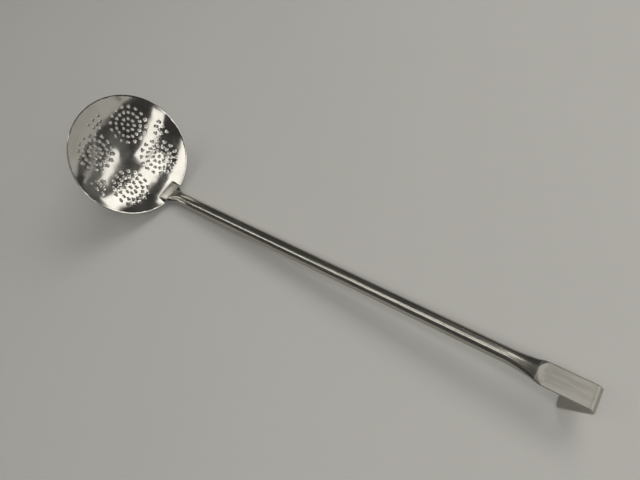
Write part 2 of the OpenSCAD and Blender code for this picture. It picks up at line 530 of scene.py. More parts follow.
@dataclass
class Perforation:
    """The bowl's punched holes: four round groups, three fans between them, each hole with a dished mouth."""

    sizes: Sizes
    rosette_reach: float = 0.0393
    rosette_shift: tuple[tuple[float, float, float], ...] = (
        (-0.6, -1.5, -0.5), (-0.8, -2.5, -2.0), (0.6, -5.0, -4.0), (0.7, -0.5, 2.0))
    rings: tuple[tuple[float, int], ...] = ((0.0071, 8), (0.0144, 16), (0.021, 16))
    fan_at: tuple[float, ...] = (85.0, 180.0, 268.5)
    fan_rows: tuple[tuple[float, tuple[float, ...]], ...] = (
        (0.046, (0.0,)), (0.0525, (-6.0, 0.0, 6.0)), (0.059, (-8.0, 0.0, 8.0)))
    mouth_r: float = 0.00175
    dish: float = 0.00014
    burr: float = 0.00030
    sides: int = 16

    def places(self) -> list[tuple[float, float]]:
        """The holes' places in the rim's plane, seen from above the bowl."""
        found: list[tuple[float, float]] = []
        for k, (outwards, aside, own_turn) in enumerate(self.rosette_shift):
            reach = self.rosette_reach + outwards * MM
            angle = math.radians(45 + 90 * k + aside)
            x, y = reach * math.cos(angle), reach * math.sin(angle)
            found.append((x, y))
            for radius, count in self.rings:
                for i in range(count):
                    turn = math.radians(45 + own_turn + 360 * i / count)
                    found.append((x + radius * math.cos(turn), y + radius * math.sin(turn)))
        for middle in self.fan_at:
            for radius, offsets in self.fan_rows:
                for offset in offsets:
                    turn = math.radians(middle + offset)
                    found.append((radius * math.cos(turn), radius * math.sin(turn)))
        return found

    def turns(self) -> list[Euler]:
        """The turn that brings +Z onto each hole's axis, pointing out of the bowl."""
        found = []
        for x, y in self.places():
            angle = math.asin(math.hypot(x, y) / self.sizes.inner_r)
            found.append(Euler((0, math.pi - angle, math.atan2(y, x))))
        return found

    def mouth(self, turn: Euler, radius: float) -> list[Vector]:
        """The points where a hole's dished mouth starts on a sphere of the given radius.

        Args:
            turn: The hole's turn.
            radius: The sphere's radius.

        Returns:
            One point a side, seen from the spheres' centre.
        """
        spread = math.asin(self.mouth_r / self.sizes.inner_r)
        ring, depth = radius * math.sin(spread), radius * math.cos(spread)
        points = []
        for i in range(self.sides):
            a = 2 * math.pi * i / self.sides
            point = Vector((ring * math.cos(a), ring * math.sin(a), depth))
            point.rotate(turn)
            points.append(point)
        return points

    def collar(self) -> bpy.types.Object:
        """One hole's collar: dished mouth, punched wall and slight burr outside.

        Returns:
            The collar's object, with the spheres' centre as its origin and the hole along +Z.
        """
        s = self.sizes
        spread = math.asin(self.mouth_r / s.inner_r)
        hole_r = s.hole_d / 2
        profile = [
            (s.inner_r * math.sin(spread), s.inner_r * math.cos(spread)),
            ((hole_r + self.mouth_r) / 2, s.inner_r + self.dish * 0.28),
            (hole_r, s.inner_r + self.dish),
            (hole_r, s.outer_r + self.burr),
            (hole_r + 0.35 * (self.mouth_r - hole_r), s.outer_r + self.burr),
            (s.outer_r * math.sin(spread), s.outer_r * math.cos(spread)),
        ]
        points, faces = [], []
        for radius, height in profile:
            for i in range(self.sides):
                a = 2 * math.pi * i / self.sides
                points.append((radius * math.cos(a), radius * math.sin(a), height))
        for row in range(len(profile) - 1):
            for i in range(self.sides):
                j = (i + 1) % self.sides
                low, high = row * self.sides, (row + 1) * self.sides
                faces.append((low + i, low + j, high + j, high + i))
        mesh = bpy.data.meshes.new("collar")
        mesh.from_pydata(points, [], faces)
        collar = bpy.data.objects.new("collar", mesh)
        bpy.context.scene.collection.objects.link(collar)
        return collar

    def tree(self) -> bpy.types.NodeTree:
        """The node tree that sets a collar at every hole.

        Returns:
            A geometry node group with the collar, its size and its finish as named inputs.
        """
        group = bpy.data.node_groups.new("punched_holes", "GeometryNodeTree")
        face = group.interface
        face.new_socket("Geometry", in_out="INPUT", socket_type="NodeSocketGeometry")
        face.new_socket("Collar", in_out="INPUT", socket_type="NodeSocketObject")
        face.new_socket("Hole size", in_out="INPUT", socket_type="NodeSocketFloat")
        face.new_socket("Finish", in_out="INPUT", socket_type="NodeSocketMaterial")
        face.new_socket("Geometry", in_out="OUTPUT", socket_type="NodeSocketGeometry")
        nodes, links = group.nodes, group.links
        start, end = nodes.new("NodeGroupInput"), nodes.new("NodeGroupOutput")
        pattern = nodes.new("GeometryNodeObjectInfo")
        turn = nodes.new("GeometryNodeInputNamedAttribute")
        turn.data_type = "FLOAT_VECTOR"
        turn.inputs["Name"].default_value = "turn"
        rotation = nodes.new("FunctionNodeEulerToRotation")
        place = nodes.new("GeometryNodeInstanceOnPoints")
        real = nodes.new("GeometryNodeRealizeInstances")
        finish = nodes.new("GeometryNodeSetMaterial")
        links.new(start.outputs["Geometry"], place.inputs["Points"])
        links.new(start.outputs["Collar"], pattern.inputs["Object"])
        links.new(pattern.outputs["Geometry"], place.inputs["Instance"])
        links.new(turn.outputs["Attribute"], rotation.inputs[0])
        links.new(rotation.outputs[0], place.inputs["Rotation"])
        links.new(start.outputs["Hole size"], place.inputs["Scale"])
        links.new(place.outputs["Instances"], real.inputs["Geometry"])
        links.new(real.outputs["Geometry"], finish.inputs["Geometry"])
        links.new(start.outputs["Finish"], finish.inputs["Material"])
        links.new(finish.outputs["Geometry"], end.inputs["Geometry"])
        return group

    def collars(self, material: bpy.types.Material) -> bpy.types.Mesh:
        """All the collars as one mesh, seen from the spheres' centre.

        Args:
            material: The sheet's finish.

        Returns:
            A plain mesh of open collars.
        """
        turns = self.turns()
        mesh = bpy.data.meshes.new("hole_places")
        mesh.from_pydata([(0, 0, 0)] * len(turns), [], [])
        attribute = mesh.attributes.new("turn", "FLOAT_VECTOR", "POINT")
        attribute.data.foreach_set("vector", [value for turn in turns for value in turn])
        carrier = bpy.data.objects.new("hole_places", mesh)
        bpy.context.scene.collection.objects.link(carrier)
        collar = self.collar()
        modifier = carrier.modifiers.new("holes", "NODES")
        modifier.node_group = self.tree()
        inputs = {item.name: item.identifier for item in modifier.node_group.interface.items_tree
                  if item.in_out == "INPUT"}
        modifier[inputs["Collar"]] = collar
        modifier[inputs["Hole size"]] = 1.0
        modifier[inputs["Finish"]] = material
        graph = bpy.context.evaluated_depsgraph_get()
        made = bpy.data.meshes.new_from_object(carrier.evaluated_get(graph))
        carrier.modifiers.remove(modifier)
        for scaffold in (carrier, collar):
            bpy.data.objects.remove(scaffold)
        return made


@dataclass
class Bowl:
    """The dished sheet: punched, pressed into a pocket at the handle, and rounded at its lip."""

    sizes: Sizes
    pose: RestPose
    holes: Perforation
    grid: float = 0.0016
    fine_grid: float = 0.00055
    fine_from: float = 0.055
    fine_half_w: float = 0.019
    lip_r: float = 0.0003
    flap_half_w: float = 0.0127
    web_end_w: float = 0.0150
    wave_height: float = 0.00011
    wave_length: float = 0.021
    calm_rim: float = 0.012
    smoothing_rounds: int = 3

    def direction(self, x: float, y: float) -> Vector:
        """The direction from the spheres' centre to a place on the unrolled sheet.

        Args:
            x: Distance along the sheet from the bowl's middle towards the handle.
            y: The same across.

        Returns:
            A unit vector in the bowl's own frame.
        """
        run = math.hypot(x, y)
        angle, round_turn = run / self.sizes.inner_r, math.atan2(y, x)
        return Vector((math.sin(angle) * math.cos(round_turn), math.sin(angle) * math.sin(round_turn),
                       -math.cos(angle)))

    def unrolled(self, direction: Vector) -> tuple[float, float]:
        """The place on the unrolled sheet of a direction from the spheres' centre."""
        angle = math.acos(max(-1.0, min(1.0, -direction.normalized().z)))
        turn = math.atan2(direction.y, direction.x)
        return self.sizes.inner_r * angle * math.cos(turn), self.sizes.inner_r * angle * math.sin(turn)

    def rim_places(self) -> list[tuple[float, float]]:
        """Places of the rim on the unrolled sheet, closer together at the pocket."""
        run = self.sizes.inner_r * self.sizes.rim_angle - self.lip_r
        pocket = math.asin(self.fine_half_w / run)
        near = int(2 * pocket * run / self.fine_grid)
        far = int((2 * math.pi - 2 * pocket) * run / self.grid)
        angles = [-pocket + 2 * pocket * i / near for i in range(near)]
        angles += [pocket + (2 * math.pi - 2 * pocket) * i / far for i in range(far)]
        return [(run * math.cos(a), run * math.sin(a)) for a in angles]

    def grid_places(self, mouths: list[tuple[float, float]]) -> list[tuple[float, float]]:
        """Places inside the rim on the unrolled sheet, clear of the holes.

        Args:
            mouths: The holes' places on the unrolled sheet.

        Returns:
            Points of a triangular grid, finer at the pocket.
        """
        run = self.sizes.inner_r * self.sizes.rim_angle - self.lip_r
        clear = self.holes.mouth_r + self.grid * 0.45
        cell = 0.006
        near: dict[tuple[int, int], list[tuple[float, float]]] = {}
        for x, y in mouths:
            for i in (-1, 0, 1):
                for j in (-1, 0, 1):
                    near.setdefault((int(x // cell) + i, int(y // cell) + j), []).append((x, y))
        found: list[tuple[float, float]] = []
        for step, fine in ((self.grid, False), (self.fine_grid, True)):
            rows = int(run / (step * math.sqrt(3) / 2)) + 1
            for row in range(-rows, rows + 1):
                y = row * step * math.sqrt(3) / 2
                for column in range(-rows, rows + 1):
                    x = (column + 0.5 * (row % 2)) * step
                    in_fine = x > self.fine_from and abs(y) < self.fine_half_w
                    if in_fine != fine or math.hypot(x, y) > run - step * 0.6:
                        continue
                    if any(math.hypot(x - u, y - v) < clear for u, v in near.get((int(x // cell), int(y // cell)), [])):
                        continue
                    found.append((x, y))
        return found

    def pressed(self, point: Vector) -> Vector:
        """Where pressing the pocket moves a point of the bowl's inner face.

        Args:
            point: A point in the bowl's own frame.

        Returns:
            The moved point.
        """
        s = self.sizes
        to_handle = self.pose.bowl_to_handle
        p = to_handle @ point
        centre = to_handle @ Vector((0, 0, s.centre_h))
        share = 1 - smooth_step(self.flap_half_w, self.web_end_w, abs(p.y))
        if p.z >= s.flap_z or p.x < -s.rim_r or share <= 0:
            return point
        crease_x = centre.x - math.sqrt(s.inner_r ** 2 - (s.flap_z - centre.z) ** 2 - p.y ** 2)
        along = math.hypot(p.x - crease_x, p.z - s.flap_z)
        wall = math.hypot(crease_x, s.flap_z)
        x = crease_x + along * s.flap_l / wall
        flat = Vector((x, p.y, s.flap_z - s.dip(x)))
        return to_handle.inverted() @ p.lerp(flat, share)

    def creased(self, point: Vector) -> float:
        """How far smoothing reaches a point near the pocket's creases.

        Args:
            point: A point in the bowl's own frame, before pressing.

        Returns:
            A share from 0 to 1.
        """
        p = self.pose.bowl_to_handle @ point
        if p.x < -self.sizes.rim_r:
            return 0.0
        height = smooth_step(self.sizes.flap_z + 0.0035, self.sizes.flap_z + 0.0015, p.z) \
            if p.z > self.sizes.flap_z else 1.0
        return height * (1 - smooth_step(self.web_end_w + 0.0012, self.web_end_w + 0.003, abs(p.y)))

    def wave(self, direction: Vector, near_pocket: float) -> float:
        """The sheet's slight unevenness along the radius.

        Args:
            direction: A unit vector from the spheres' centre.
            near_pocket: 1 at the pocket, where the sheet is pressed true.

        Returns:
            A distance outwards.
        """
        run = self.sizes.inner_r * math.acos(max(-1.0, min(1.0, -direction.z)))
        edge = self.sizes.inner_r * self.sizes.rim_angle
        calm = 1 - smooth_step(edge - self.calm_rim, edge - 0.001, run)
        place = direction * (self.sizes.inner_r / self.wave_length)
        broad = noise.noise(place)
        tight = noise.noise(place * 2.3 + Vector((7, 3, 1)))
        return self.wave_height * calm * (1 - near_pocket) * (broad + 0.45 * tight)

    def build(self, material: bpy.types.Material) -> bpy.types.Object:
        """Makes the bowl.

        Args:
            material: The sheet's finish.

        Returns:
            The bowl's object.
        """
        s = self.sizes
        centre = Vector((0, 0, s.centre_h))
        turns = self.holes.turns()
        mouths_3d = [self.holes.mouth(turn, s.inner_r) for turn in turns]
        middles = []
        for turn in turns:
            axis = Vector((0, 0, 1))
            axis.rotate(turn)
            middles.append(self.unrolled(axis))
        rim = self.rim_places()
        flat = list(rim)
        directions = [self.direction(x, y) for x, y in rim]
        edges = [(i, (i + 1) % len(rim)) for i in range(len(rim))]
        for ring in mouths_3d:
            first = len(flat)
            for k, point in enumerate(ring):
                flat.append(self.unrolled(point))
                directions.append(point.normalized())
                edges.append((first + k, first + (k + 1) % len(ring)))
        for x, y in self.grid_places(middles):
            flat.append((x, y))
            directions.append(self.direction(x, y))
        made = delaunay_2d_cdt([Vector((x / MM, y / MM)) for x, y in flat], edges, [], 0, 1e-6, True)
        origin = [ids[0] for ids in made[3]]
        mouth_limit = (self.holes.mouth_r * 0.97) ** 2
        cell = 0.004
        near: dict[tuple[int, int], list[tuple[float, float]]] = {}
        for x, y in middles:
            for i in (-1, 0, 1):
                for j in (-1, 0, 1):
                    near.setdefault((int(x // cell) + i, int(y // cell) + j), []).append((x, y))
        faces = []
        for face in made[2]:
            corners = [origin[i] for i in face]
            x = sum(flat[i][0] for i in corners) / 3
            y = sum(flat[i][1] for i in corners) / 3
            if any((x - u) ** 2 + (y - v) ** 2 < mouth_limit for u, v in near.get((int(x // cell), int(y // cell)), [])):
                continue
            faces.append(corners)

        inner = [centre + d * s.inner_r for d in directions]
        crease = [self.creased(p) for p in inner]
        inner = [self.pressed(p) if c > 0 else p for p, c in zip(inner, crease)]
        inner = self.smoothed(inner, faces, crease, len(rim))
        normals = self.outward_normals(inner, faces, directions, crease)
        outer = [p + n * s.bowl_t for p, n in zip(inner, normals)]

        points = inner + outer
        count = len(inner)
        shell = [list(reversed(f)) for f in faces] + [[i + count for i in f] for f in faces]
        ring_count = len(rim)
        loops = [list(range(ring_count))]
        for corner, turn in ((self.lip_r, 45), (self.lip_r, 90), (s.bowl_t - self.lip_r, 90),
                             (s.bowl_t - self.lip_r, 135)):
            loop = []
            for j in range(ring_count):
                tangent = inner[(j + 1) % ring_count] - inner[j - 1]
                outwards = tangent.cross(normals[j]).normalized()
                if outwards.dot(directions[j] - Vector((0, 0, directions[j].z))) < 0:
                    outwards.negate()
                a = math.radians(turn)
                loop.append(len(points))
                points.append(inner[j] + normals[j] * (corner - self.lip_r * math.cos(a))
                              + outwards * (self.lip_r * math.sin(a)))
            loops.append(loop)
        loops.append([j + count for j in range(ring_count)])
        for low, high in zip(loops, loops[1:]):
            for j in range(ring_count):
                k = (j + 1) % ring_count
                shell.append([low[j], low[k], high[k], high[j]])

        collars = self.holes.collars(material)
        first = len(points)
        points += [centre + v.co for v in collars.vertices]
        shell += [[first + i for i in polygon.vertices] for polygon in collars.polygons]
        bpy.data.meshes.remove(collars)
        return self.finish(points, shell, centre, material)

    def smoothed(self, points: list[Vector], faces: list[list[int]], share: list[float],
                 rim_count: int) -> list[Vector]:
        """Rounds the pocket's creases by averaging neighbours.

        Args:
            points: The inner face's points.
            faces: Its triangles.
            share: How far smoothing reaches each point.
            rim_count: How many of the first points are the rim, in order.

        Returns:
            The rounded points.
        """
        neighbours: dict[int, set[int]] = {i: set() for i, part in enumerate(share) if part > 0}
        for a, b, c in faces:
            for i, j, k in ((a, b, c), (b, c, a), (c, a, b)):
                if i in neighbours:
                    neighbours[i].update((j, k))
        for i in neighbours:
            if i < rim_count:
                neighbours[i] = {(i - 1) % rim_count, (i + 1) % rim_count}
        for _ in range(self.smoothing_rounds):
            moved = {}
            for i, around in neighbours.items():
                mean = sum((points[j] for j in around), Vector()) / len(around)
                moved[i] = points[i].lerp(mean, 0.5 * share[i])
            for i, point in moved.items():
                points[i] = point
        return points

    def outward_normals(self, points: list[Vector], faces: list[list[int]], directions: list[Vector],
                        share: list[float]) -> list[Vector]:
        """Directions in which the sheet has its thickness.

        Args:
            points: The inner face's points.
            faces: Its triangles.
            directions: Unit vectors from the spheres' centre, right away from the pocket.
            share: 0 away from the pocket.

        Returns:
            One unit vector a point.
        """
        sums = [Vector() for _ in points]
        for a, b, c in faces:
            normal = (points[b] - points[a]).cross(points[c] - points[a])
            if normal.dot(directions[a]) < 0:
                normal.negate()
            for i in (a, b, c):
                sums[i] += normal
        return [n.normalized() if part > 0 else d for n, d, part in zip(sums, directions, share)]

    def finish(self, points: list[Vector], faces: list[list[int]], centre: Vector,
               material: bpy.types.Material) -> bpy.types.Object:
        """Joins the shell, gives it its unevenness and puts it in place.

        Args:
            points: All points in the bowl's own frame.
            faces: All faces.
            centre: The spheres' centre.
            material: The sheet's finish.

        Returns:
            The bowl's object.
        """
        mesh = bpy.data.meshes.new("bowl_sheet")
        mesh.from_pydata(points, [], faces)
        shape = bmesh.new()
        shape.from_mesh(mesh)
        bmesh.ops.remove_doubles(shape, verts=shape.verts, dist=2e-6)
        open_edges = sum(1 for e in shape.edges if len(e.link_faces) != 2)
        LOG.info("bowl: %d edges without two faces", open_edges)
        bmesh.ops.recalc_face_normals(shape, faces=shape.faces)
        for vertex in shape.verts:
            ray = vertex.co - centre
            direction = ray.normalized()
            vertex.co += direction * self.wave(direction, self.creased(centre + direction * self.sizes.inner_r))
            vertex.co = self.pose.bowl @ vertex.co
        shape.to_mesh(mesh)
        shape.free()
        mesh.shade_smooth()
        mesh.set_sharp_from_angle(angle=math.radians(38))
        return finished_piece("bowl_sheet", mesh, material, ("bowl",))


@dataclass
class Handle:
    """The one tube: pressed to a tongue under the bowl's flap, round along the grip, pressed flat and bent to a hook."""

    sizes: Sizes
    pose: RestPose
    top_parts: int = 24
    side_parts: int = 24
    apex_half_w: float = 0.0013
    open_l: float = 0.015
    crease_r: float = 0.0005
    fold_from: float = 0.002
    fold_to: float = -0.0012
    ripple_height: float = 0.00010
    ripple_length: float = 0.0021
    ripple_reach: float = 0.011
    slit_depth: float = 0.0006
    tube_step: float = 0.012

    def ring(self, a: float, b: float, c: float, cut: float, flat_top: bool) -> list[tuple[float, float]]:
        """One section's outline: top, one side, bottom and the other side, each with its own points.

        Args:
            a: Half the outline's width.
            b: Half its height before it is pressed.
            c: Height of its middle.
            cut: The ellipse's angle, in radians, at which the top ends and the sides start.
            flat_top: Whether top and bottom are pressed straight.

        Returns:
            Points (across, up), counterclockwise from the +Y end of the top.
        """
        outline = []
        for side in (1, -1):
            for i in range(self.top_parts):
                share = i / self.top_parts
                if flat_top:
                    outline.append((side * a * math.cos(cut) * (1 - 2 * share), c + side * b * math.sin(cut)))
                else:
                    t = cut + (math.pi - 2 * cut) * share
                    outline.append((side * a * math.cos(t), c + side * b * math.sin(t)))
            for i in range(self.side_parts):
                t = math.pi - cut + 2 * cut * i / self.side_parts
                outline.append((side * a * math.cos(t), c + side * b * math.sin(t)))
        return outline

    def stadium(self, c: float) -> list[tuple[float, float]]:
        """The outline of the tube pressed flat: two walls together, folded round at both edges."""
        s = self.sizes
        half = s.flat_w / 2 - s.tube_t
        outline = []
        for side in (1, -1):
            for i in range(self.top_parts):
                outline.append((side * half * (1 - 2 * i / self.top_parts), c + side * s.tube_t))
            for i in range(self.side_parts):
                t = math.pi / 2 + math.pi * i / self.side_parts
                outline.append((side * (-half + s.tube_t * math.cos(t)), c + side * s.tube_t * math.sin(t)))
        return outline

    def blend(self, first: list[tuple[float, float]], second: list[tuple[float, float]],
              share: float) -> list[tuple[float, float]]:
        """An outline between two others."""
        return [(y + (v - y) * share, z + (w - z) * share) for (y, z), (v, w) in zip(first, second)]

    def tongue_ring(self, x: float) -> list[tuple[float, float]]:
        """The outline where the tube is pressed up level with its crown.

        Args:
            x: Place along the handle.

        Returns:
            The outline's points.
        """
        s = self.sizes
        t = max(0.0, s.tongue_from - x) / (s.tongue_from + s.tongue_to)
        b = s.tube_r - (s.tube_r - s.tube_t) * t * t
        round_ring = self.ring(s.half_width(b), b, s.tube_r - b, math.pi / 4, False)
        fold = smooth_step(0.55, 1.0, t)
        outline = self.blend(round_ring, self.stadium(s.tube_r - s.tube_t), fold) if fold > 0 else round_ring
        return [(y, z - s.dip(x) * smooth_step(-s.tube_r, 0, z)) for y, z in outline]

    def swell_ring(self, u: float) -> list[tuple[float, float]]:
        """The outline at a distance before the crease, on the swell, the ramp or just past the crease.

        Args:
            u: Distance before the crease, below 0 on the flat.

        Returns:
            The outline's points.
        """
        s = self.sizes
        t = max(0.0, 1 - u / s.swell_l)
        b = s.tube_r - (s.tube_r - s.swell_end_h) * t ** s.swell_power
        crown = s.tube_r - (s.tube_r - s.swell_end_h) * (1 - s.ramp_l / s.swell_l) ** s.swell_power
        slope = (crown - s.tube_t) / s.ramp_l
        c = s.pad_z * min(1.0, t)
        reach = s.tube_t + slope * soft_ramp(u, self.crease_r)
        a = s.half_width(b)
        a += (s.flat_w / 2 - a) * smooth_step(s.ramp_l * 1.6, 0, u)
        if reach < b * math.sin(math.acos(min(1.0, self.apex_half_w / a))):
            ring = self.ring(a, b, c, math.asin(reach / b), True)
        else:
            apex = math.acos(self.apex_half_w / a)
            opening = smooth_step(s.ramp_l, s.ramp_l + self.open_l, u)
            ring = self.ring(a, b, c, apex + (math.pi / 4 - apex) * opening, False)
        fold = 1 - smooth_step(self.fold_to, self.fold_from, u)
        return self.blend(ring, self.stadium(s.pad_z), fold) if fold > 0 else ring

    def straight_places(self) -> list[float]:
        """Places along the handle of the sections from the tongue to just past the crease."""
        s = self.sizes
        end = self.pocket_start()
        places = [end + (s.dip_to - end) * i / 66 for i in range(67)]
        count = int((s.tube_l - s.swell_l - s.dip_to) / self.tube_step)
        places += [s.dip_to + (s.tube_l - s.swell_l - s.dip_to) * i / count for i in range(1, count)]
        gaps = [s.swell_l - (s.swell_l - s.ramp_l) * i / 40 for i in range(41)]
        gaps += [s.ramp_l - 0.0001 * i for i in range(1, 6)]
        gaps += [s.ramp_l - 0.0006 - (s.ramp_l - 0.0021) * i / 14 for i in range(15)]
        gaps += [0.0013 - 0.00018 * i for i in range(15)]
        return places + [s.tube_l - u for u in gaps]

    def pocket_start(self) -> float:
        """Where the tongue ends inside the bowl's pocket."""
        s = self.sizes
        return s.crease_x + s.bowl_t

    def rings(self) -> list[tuple[list[Vector], float]]:
        """All sections in order, each with its share of the pressed flat, where the finish is rougher and painted paler
        as a sheen.

        Returns:
            Pairs of the section's points along the handle and that share.
        """
        s = self.sizes
        found: list[tuple[list[Vector], float]] = []
        for x in self.straight_places():
            if x < s.dip_to:
                outline = self.tongue_ring(x)
            elif x <= s.tube_l - s.swell_l:
                outline = self.ring(s.tube_r, s.tube_r, 0, math.pi / 4, False)
            else:
                outline = self.swell_ring(s.tube_l - x)
            # Share of the pressed flat: the finish makes the tube rougher there and paints it paler as a sheen.
            flat_share = smooth_step(s.tube_l - s.ramp_l - 0.001, s.tube_l - s.ramp_l, x)
            found.append(([Vector((x, y, z)) for y, z in outline], flat_share))
        start = found[-1][0][0].x
        flat = self.stadium(0.0)
        pad_steps, bend_steps, leg_steps = 12, 40, 10
        for i in range(1, pad_steps + 1):
            x = start + (s.bend_x - start) * i / pad_steps
            found.append(([Vector((x, y, z + s.pad_z)) for y, z in flat], 1.0))
        middle = Vector((s.bend_x, 0, s.pad_z - s.bend_mid_r))
        for i in range(1, bend_steps + 1):
            a = math.radians(s.bend_turn) * i / bend_steps
            turned = Matrix.Rotation(a, 3, "Y")
            found.append(([middle + turned @ Vector((0, y, s.bend_mid_r + z)) for y, z in flat], 1.0))
        turned = Matrix.Rotation(math.radians(s.bend_turn), 3, "Y")
        run = s.leg_l + s.tip_sag
        for i in range(1, leg_steps + 1):
            share = i / leg_steps
            points = []
            for y, z in flat:
                sag = (s.tip_r - math.sqrt(s.tip_r ** 2 - y * y)) * share ** 3
                points.append(middle + turned @ Vector((run * share - sag, y, s.bend_mid_r + z)))
            found.append((points, 1.0))
        return found

    def rippled(self, point: Vector) -> Vector:
        """Adds the faint curved ripples that pressing left on the tube's end.

        Args:
            point: A point along the handle.

        Returns:
            The moved point.
        """
        s = self.sizes
        run = math.hypot(point.x + 0.002, point.y)
        fade = smooth_step(s.tongue_from, s.tongue_from - self.ripple_reach, point.x) * smooth_step(0, 0.004, point.z)
        if fade <= 0:
            return point
        push = self.ripple_height * fade * (math.cos(2 * math.pi * run / self.ripple_length) - 1)
        return point + Vector((0, 0, push))

    def build(self, material: bpy.types.Material) -> bpy.types.Object:
        """Makes the handle.

        Args:
            material: The tube's finish.

        Returns:
            The handle's object.
        """
        sections = self.rings()
        count = 2 * (self.top_parts + self.side_parts)
        points, faces, flat_shares = [], [], []
        for row, (section, flat_share) in enumerate(sections):
            for p in section:
                placed = self.pose.handle @ self.rippled(p)
                placed.x = min(placed.x, CAD_BOX[1][0])
                placed.z = max(placed.z, 0.0)
                points.append(placed)
            flat_shares += [flat_share] * count
            if row:
                low, high = (row - 1) * count, row * count
                for i in range(count):
                    j = (i + 1) % count
                    faces.append((low + i, low + j, high + j, high + i))
        self.cap(points, faces, flat_shares, count, 0, Vector((self.slit_depth, 0, 0)))
        turned = Matrix.Rotation(math.radians(self.sizes.bend_turn), 3, "Y") @ Vector((-self.slit_depth, 0, 0))
        self.cap(points, faces, flat_shares, count, (len(sections) - 1) * count, turned)
        mesh = bpy.data.meshes.new("handle_tube")
        mesh.from_pydata(points, [], faces)
        attribute = mesh.attributes.new("pressed_flat", "FLOAT", "POINT")
        attribute.data.foreach_set("value", flat_shares)
        shape = bmesh.new()
        shape.from_mesh(mesh)
        bmesh.ops.recalc_face_normals(shape, faces=shape.faces)
        open_edges = sum(1 for e in shape.edges if len(e.link_faces) != 2)
        LOG.info("handle: %d edges without two faces", open_edges)
        shape.to_mesh(mesh)
        shape.free()
        mesh.shade_smooth()
        mesh.set_sharp_from_angle(angle=math.radians(38))
        return finished_piece("handle_tube", mesh, material, ("handle",))

    def cap(self, points: list[Vector], faces: list[tuple[int, ...]], flat_shares: list[float], count: int,
            first: int, inwards: Vector) -> None:
        """Closes an end: its two walls meet in a fine slit.

        Args:
            points: The mesh's points, which grow by the slit's.
            faces: The mesh's faces, which grow by the cap's.
            flat_shares: The points' shares of the pressed flat, which the tube's finish makes rougher and paints paler
                as a sheen; they grow too.
            count: Points in a section.
            first: Index of the end section's first point.
            inwards: The slit's depth as a vector along the handle.
        """
        half = count // 2
        slit: list[int] = []
        down = (self.pose.handle.to_3x3() @ inwards)
        for i in range(1, half):
            upper, lower = points[first + i], points[first + count - i]
            slit.append(len(points))
            points.append((upper + lower) / 2 + down * 1.0)
            flat_shares.append(flat_shares[first])
        ends = [first, *slit, first + half]
        for i in range(half):
            upper_pair = (first + i, first + i + 1)
            lower_pair = (first + (count - i) % count, first + count - i - 1)
            face = [upper_pair[0], upper_pair[1], ends[i + 1], ends[i]]
            faces.append(tuple(dict.fromkeys(face)))
            face = [lower_pair[0], ends[i], ends[i + 1], lower_pair[1]]
            faces.append(tuple(dict.fromkeys(face)))


@dataclass
class WeldBead:
    """One bead along an edge of the tongue, filling the pocket beside it."""

    sizes: Sizes
    pose: RestPose
    side: int
    start: float
    sides: int = 14
    steps: int = 28
    ripple: float = 0.00012
    ripple_length: float = 0.0011

    def build(self, name: str, node: str, material: bpy.types.Material) -> bpy.types.Object:
        """Makes the bead.

        Args:
            name: The piece's name.
            node: The CAD node that it stands for.
            material: The weld's finish.

        Returns:
            The bead's object.
        """
        s = self.sizes
        low_y, high_y = s.flat_w / 2 - s.tube_t, s.pocket_w / 2
        end = -s.tongue_to
        points, faces = [], []
        for row in range(self.steps + 1):
            share = row / self.steps
            x = self.start + (end - self.start) * share
            round_end = math.sqrt(max(0.02, 1 - (2 * share - 1) ** 8))
            wave = self.ripple * math.cos(2 * math.pi * (x - self.start) / self.ripple_length)
            for i in range(self.sides):
                t = 2 * math.pi * i / self.sides
                y = (low_y + high_y) / 2 + (high_y - low_y) / 2 * math.cos(t) * round_end
                z = s.tube_r - s.dip(x) - s.weld_h / 2 + (s.weld_h / 2 - max(0.0, wave)) * math.sin(t) * round_end
                points.append(self.pose.handle @ Vector((x, self.side * y, z)))
            if row:
                low, high = (row - 1) * self.sides, row * self.sides
                for i in range(self.sides):
                    j = (i + 1) % self.sides
                    faces.append((low + i, low + j, high + j, high + i))
        faces.append(tuple(range(self.sides)))
        faces.append(tuple(range(self.steps * self.sides, (self.steps + 1) * self.sides)))
        mesh = bpy.data.meshes.new(name)
        mesh.from_pydata(points, [], faces)
        shape = bmesh.new()
        shape.from_mesh(mesh)
        bmesh.ops.recalc_face_normals(shape, faces=shape.faces)
        shape.to_mesh(mesh)
        shape.free()
        mesh.shade_smooth()
        mesh.set_sharp_from_angle(angle=math.radians(60))
        return finished_piece(name, mesh, material, (node,))


@dataclass(frozen=True)
class KeyLight:
    """A soft rectangular lamp that lights the floor and casts the soft shadows."""

    name: str
    centre: tuple[float, float, float]
    aim: tuple[float, float, float]
    length: float
    width: float
    brightness: float

    def build(self) -> None:
        """Adds the lamp, facing its aim."""
        lamp = bpy.data.lights.new(self.name, "AREA")
        lamp.shape = "RECTANGLE"
        lamp.size = self.length
        lamp.size_y = self.width
        lamp.energy = self.brightness * math.pi * self.length * self.width
        lamp.color = (1.0, 0.985, 0.95)
        light = bpy.data.objects.new(self.name, lamp)
        back = Vector(self.centre) - Vector(self.aim)
        light.location = self.centre
        light.rotation_euler = back.to_track_quat("Z", "Y").to_euler()
        light.visible_glossy = False
        bpy.context.scene.collection.objects.link(light)


@dataclass(frozen=True)
class SkyPanel:
    """A bright panel of the studio as the metal sees it, laid out on a flat map of the sky.

    The map has the zenith at its middle, X and Y as in the part's frame, and degrees from the zenith as its unit.
    """

    centre: tuple[float, float]
    heading: float
    half_length: float
    half_width: float
    soft_side: float
    soft_end: float
    level: float


